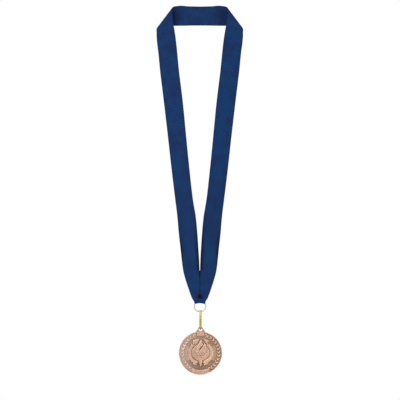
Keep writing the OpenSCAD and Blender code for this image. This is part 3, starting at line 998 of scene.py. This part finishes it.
# The wreath: three leaves at each node up both sides, one that reaches to the flame, and
# two at the foot.
def wreath_leaves():
    wreath = np.zeros(net_x.shape)
    for side in (-1, 1):
        for k in range(wreath_nodes):
            bearing = wreath_first - wreath_pitch * k
            r = wreath_r - float(step_up(bearing, 115, 165))
            for ahead, turn, *size, curl in wreath_stem_leaves:
                base = place_at(bearing + ahead, r, side)
                add_leaf(wreath, base, side * (bearing - 90 + turn), *size, side * curl)
        for x, z, heading, *size, curl in wreath_end_leaves:
            add_leaf(wreath, (side * x, z), side * heading, *size, side * curl)
    return wreath * (1 - step_up(net_r, 15.7, 16.2))


# The torch: flame, grip, collar, bowl and lip, and where the flame's cuts lie.
def torch_form():
    torch = add_figure(np.zeros(net_x.shape), flame, flame_h, 0.16, 0.26)
    cut = np.maximum(cut_along(flame_slit), cut_along(flame_notch))
    cut = np.maximum(cut, 0.45 * cut_along(flame_fold))
    torch *= 1 - 0.80 * cut
    torch = add_turned(torch, grip, 0.32, 0.40)
    torch = add_turned(torch, collar, 0.42, 0.33)
    torch = add_turned(torch, bowl, 0.36, 0.33)
    torch = add_turned(torch, bowl_top, 0.26, 0.28)
    return add_turned(torch, lip, 0.42, 0.33), cut


# The relief's heights, and how strongly its cut lines are toned.
def relief():
    h = add_border(np.zeros(net_x.shape))
    beside = step_up(net_r, 14.8, 15.2) * step_up(net_r, border_low, border_low - 0.3)
    beside *= step_up(bearing_off, 61, 65) * step_up(bearing_off, 121, 117)
    h = np.maximum(h, side_plate_h * beside)
    h = add_figure(h, left_plate, upper_plate_h, 0.16, 0.16)
    h = add_figure(h, right_plate, upper_plate_h, 0.16, 0.16)
    inner_r = 10.1 - 1.5 * step_up(bearing_off, 85, 150)
    h = np.maximum(h, inner_disc_h * step_up(net_r - inner_r, 0, -0.3))
    wreath = wreath_leaves()
    h = np.where(wreath > 0.05, np.maximum(h, wreath + 0.06), h)
    arc = np.exp(-((net_r - inner_r - 0.1) / 0.42) ** 2)
    upper = np.where(net_x < 0, step_up(bearing_off, 42, 50), step_up(bearing_off, 50, 58))
    lower = np.where(net_x < 0, step_up(bearing_off, 135, 120), step_up(bearing_off, 152, 144))
    trench = np.where(net_x < 0, 0.6, 0.85) * arc * upper * lower * (wreath < 0.36)
    for side in (-1, 1):
        trench = np.maximum(trench, 0.75 * soft_spot(net_x, net_z, side * 3.3, -10.2, 0.9, 0.6))
        groove = [[torch_x + side * x, z, half_w] for x, z, half_w in beside_bowl]
        trench = np.maximum(trench, (0.85 + 0.15 * side) * cut_along(groove))
    torch, cut = torch_form()
    standing = torch > 0.1
    around = step_up(blurred(standing.astype(float), 0.45), 0.12, 0.5) * ~standing
    around *= 1 - 0.5 * step_up(net_z, 8.0, 10.0) * (net_x < 0.5)
    h = np.where(standing, torch, h * (1 - 0.7 * around))
    for cut_rows, depth in ((flame_edge, 0.25), (plate_foot, 1.0), (wreath_gap, 1.0)):
        trench = np.maximum(trench, depth * cut_along(cut_rows))
    trench *= ~standing
    h = h * (1 - 0.8 * trench)
    return blurred(h, 0.05), np.maximum(0.2 * trench, cut * standing)


# How dark each spot of the relief has toned, from how deep it lies among its neighbours. Painted shade
# darkens the recess in crescents above and below the wreath, and the border's recesses are painted
# lighter on the left and darker on the right, as the light falls. Some plates and parts of the field
# are darker or lighter than that.
def toning_and_painted_shade(h, lines):
    close = np.clip((blurred(h, 0.40) - h) / 0.15, -1, 1)
    wide = np.clip((blurred(h, 1.5) - h) / 0.34, -1, 1)
    in_border = step_up(net_r, border_low - 0.2, border_low + 0.2)
    field = net_r < border_low
    low_field = field * step_up(bearing_off, 120, 130)
    upper_figures = step_up(h, 0.25, 0.4) * step_up(net_z, 9.5, 11.5) * field
    floor = 1 - step_up(h - border_ground_h * in_border, 0.02, 0.13)
    floor *= 1 - 0.6 * step_up(net_r, 23.2, 23.9)
    # Painted light and shade: the border's recesses lighter on the left and darker on the right.
    painted_side_shade = 0.76 + 0.24 * np.clip(net_x / 14, -1, 1)
    # Painted shade in crescents of the recess above and below the wreath, on top of its patina.
    crescent = np.maximum(step_up(bearing_off, 116, 122), step_up(bearing_off, 66, 60) * 0.45)
    field_toning_and_shade = 0.35 + 0.65 * crescent * step_up(net_r, 8.8, 11.5)
    floor *= np.where(net_r > border_low, painted_side_shade, field_toning_and_shade)
    border_line = np.exp(-((net_r - border_low) / 0.45) ** 2)
    lines = lines + 0.4 * border_line * unit(0.5 - net_x / 30)
    plates = step_up(net_r, 15.6, 16.4) * step_up(net_r, 19.6, 19.0)
    extra = 0.19 * plates * (h < 0.2) * (1 - crescent)
    extra += 0.12 * step_up(bearing_off, 154, 157) * (net_r > 19.5)
    extra += 0.07 * low_field * (1 - net_x / 20) * floor
    extra += 0.06 * (net_r < 15.5) * unit(-net_x / 8) * (net_z > -6)
    extra += 0.07 * (net_r > 11) * (net_r < 15.5) * step_up(bearing_off, 110, 95)
    extra -= 0.10 * step_up(bearing_off, 30, 20) * (net_r > 17) * (net_r < 19.5)
    extra -= (0.12 + 0.05 * (net_x > 3)) * upper_figures
    extra -= 0.06 * step_up(h, 0.35, 0.5) * (np.abs(net_x) < 6.5)
    extra -= 0.05 * low_field * unit(net_x / 8)
    return unit(0.20 + 0.33 * close + 0.14 * wide + 0.44 * floor + 0.5 * lines + extra)


# The values of an image at places between the net's own.
def sampled(image, x, z):
    u = np.clip((x + net_half) / cell, 0, net_n - 1.001)
    v = np.clip((z + net_half) / cell, 0, net_n - 1.001)
    i, j = u.astype(int), v.astype(int)
    fu, fv = u - i, v - j
    low = image[j, i] * (1 - fu) + image[j, i + 1] * fu
    high = image[j + 1, i] * (1 - fu) + image[j + 1, i + 1] * fu
    return low * (1 - fv) + high * fv


# Rings of points over the relief, down the wall and in over the back: how many points each
# has, its radius, and its depth where it isn't relief.
def disc_rings():
    rings = [(80, 0.0001, None)]
    rings += [(160, r, None) for r in np.arange(0.25, 3.0, 0.25)]
    rings += [(320, r, None) for r in np.arange(3.0, 8.0, 0.17)]
    rings += [(640, r, None) for r in np.arange(8.0, 24.96, 0.165)]
    wall = [(0, -1.36), (0, -0.6), (0, 0.3), (0, back_y - 0.25), (0.1, back_y - 0.07), (0.3, back_y)]
    rings += [(640, medal_r - inset, y) for inset, y in wall]
    rings += [(640, r, back_y) for r in (23.0, 20.0, 12.0, 4.0)]
    return rings


# The disc, whose rings of points double outward, and the eyelet.
def build_medal():
    h, lines = relief()
    dark = toning_and_painted_shade(h, lines)
    points, shade, faces = [], [], []
    starts = []
    total = 0
    for count, r, y in disc_rings():
        a = np.arange(count) * 2 * math.pi / count
        x, z = r * np.sin(a), r * np.cos(a)
        if y is None:
            points.append(np.column_stack([x, hang_y + field_y - sampled(h, x, z), disc_z + z]))
            shade.append(sampled(dark, x, z))
        else:
            points.append(np.column_stack([x, np.full(count, hang_y + y), disc_z + z]))
            shade.append(np.full(count, wall_shade))
        starts.append((count, total))
        total += count
    for (n, low), (m, high) in zip(starts[:-1], starts[1:]):
        for k in range(n):
            e = (k + 1) % n
            if m == n:
                faces.append((low + k, low + e, high + e, high + k))
            else:
                faces.append((low + k, low + e, high + (2 * k + 2) % m, high + 2 * k + 1, high + 2 * k))
    first_n, last_n = starts[0][0], starts[-1][0]
    faces.append(tuple(range(first_n - 1, -1, -1)))
    faces.append(tuple(range(total - last_n, total)))
    tab = eyelet()
    points.append(tab.reshape(-1, 3))
    shade.append(np.full(tab.shape[0] * tab.shape[1], eyelet_shade))
    faces += around_faces(tab.shape[0], tab.shape[1], total)
    every = np.concatenate(points)
    piece = make_piece("medal_casting", every, faces, bronze)
    x, r = every[:, 0], np.hypot(every[:, 0], every[:, 2] - disc_z)
    # Painted reflection over the left side and round the rim, less of it on the back.
    painted_reflection = 0.8 * unit(-x / 22) * step_up(r, 13.5, 16.5)
    painted_reflection = unit(painted_reflection + 0.9 * step_up(r, medal_r - 1.3, medal_r - 0.2))
    # Painted highlight on the rim's right side, none on the back or the eyelet.
    painted_highlight = 0.45 * step_up(r, medal_r - 1.0, medal_r - 0.5) * unit(0.5 + x / 30)
    behind = every[:, 1] > hang_y - 1.0
    painted_highlight[behind] = 0
    painted_reflection[behind] *= 0.4
    painted_highlight[total:] = 0
    painted_reflection[total:] = eyelet_reflection
    for name, values in (("patina_and_painted_shade", np.concatenate(shade)), ("painted_reflection", painted_reflection), ("painted_highlight", painted_highlight)):
        layer = piece.data.attributes.new(name, "FLOAT", "POINT")
        layer.data.foreach_set("value", values.astype(np.float32))
    return piece


# The eyelet: a plate with a round hole and rounded edges, whose sides slope down into the
# disc. Each row of points goes round the plate's section on one bearing from the hole.
def eyelet():
    slope = math.radians(eyelet_slope)
    inner = []
    for corner in (0, 30, 60, 90):
        c = math.radians(corner)
        r = hole_r + eyelet_bevel * (1 - math.cos(c))
        inner.append((r, -eyelet_half_t + eyelet_bevel * (1 - math.sin(c))))
    rows = []
    for k in range(eyelet_n):
        angle = 2 * math.pi * k / eyelet_n
        dx, dz = math.sin(angle), math.cos(angle)
        side = abs(dx) * math.cos(slope) + dz * math.sin(slope)
        if math.atan2(dz, abs(dx)) > slope:
            reach = eyelet_rise * dz + math.sqrt(eyelet_top_r ** 2 - (eyelet_rise * dx) ** 2)
        elif side > 0.05:
            reach = min((eyelet_top_r + eyelet_rise * math.sin(slope)) / side, eyelet_reach)
        else:
            reach = eyelet_reach
        outer = [(reach - (r - hole_r), y) for r, y in reversed(inner)]
        front = inner + outer
        loop = front + [(r, -y) for r, y in reversed(front)]
        rows.append([[dx * r, hang_y + y, hole_z + dz * r] for r, y in loop])
    return np.array(rows)


medal = build_medal()
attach(medal, "disc")
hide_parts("medal")


# Studio
# The pale floor lies well below the medal.
floor_z = -560.0
floor_half = 700.0
floor_greys = (0.86, 0.86, 0.86, 1), (0.90, 0.90, 0.90, 1)

# Where the lights look, and where the camera stands, in metres.
lit_place = (0, 0, -0.25)
camera_place = (-0.0006, -1.739, -0.2128)
camera_lens = 135


def build_floor():
    s = Shader("floor_paint")
    s.set(Base_Color=s.mix(s.noise(6.0, 3.0), *floor_greys), Roughness=0.85)
    sides = ((-1, -1), (1, -1), (1, 1), (-1, 1))
    corners = [[x * floor_half, y * floor_half, floor_z] for x, y in sides]
    make_piece("floor", corners, [(0, 1, 2, 3)], s.material)


# A square soft light at a place in metres, turned to the middle of the medal and ribbon.
def soft_light(name, place, size, power):
    data = bpy.data.lights.new(name, "AREA")
    data.shape = "SQUARE"
    data.size = size
    data.energy = power
    light = bpy.data.objects.new(name, data)
    bpy.context.scene.collection.objects.link(light)
    light.location = place
    x, y, z = np.array(lit_place) - np.array(place)
    light.rotation_euler = (math.atan2(math.hypot(x, y), -z), 0, math.atan2(-x, y))


# White behind the object, and a softer light from all round.
def build_world():
    world = bpy.data.worlds.new("studio")
    bpy.context.scene.world = world
    world.use_nodes = True
    tree = world.node_tree
    tree.nodes.clear()
    shades = []
    for color, strength in (((1, 1, 1, 1), 1.0), ((0.97, 0.98, 1.0, 1), 0.55)):
        shade = tree.nodes.new("ShaderNodeBackground")
        shade.inputs["Color"].default_value = color
        shade.inputs["Strength"].default_value = strength
        shades.append(shade)
    seen, fill = shades
    rays = tree.nodes.new("ShaderNodeLightPath")
    choose = tree.nodes.new("ShaderNodeMixShader")
    shown = tree.nodes.new("ShaderNodeOutputWorld")
    tree.links.new(rays.outputs["Is Camera Ray"], choose.inputs[0])
    tree.links.new(fill.outputs[0], choose.inputs[1])
    tree.links.new(seen.outputs[0], choose.inputs[2])
    tree.links.new(choose.outputs[0], shown.inputs["Surface"])


def build_camera():
    lens = bpy.data.cameras.new("camera")
    lens.lens = camera_lens
    lens.sensor_width = 36
    lens.clip_start = 0.01
    camera = bpy.data.objects.new("camera", lens)
    bpy.context.scene.collection.objects.link(camera)
    camera.location = camera_place
    camera.rotation_euler = (math.pi / 2, 0, 0)
    bpy.context.scene.camera = camera


build_floor()
build_world()
soft_light("key", (-1.0, -1.5, 0.75), 1.2, 34)
soft_light("side", (1.3, -1.2, -0.1), 0.9, 12)
soft_light("behind", (0.3, 1.6, 0.6), 1.2, 16)
build_camera()
bpy.context.scene.view_settings.view_transform = "Standard"
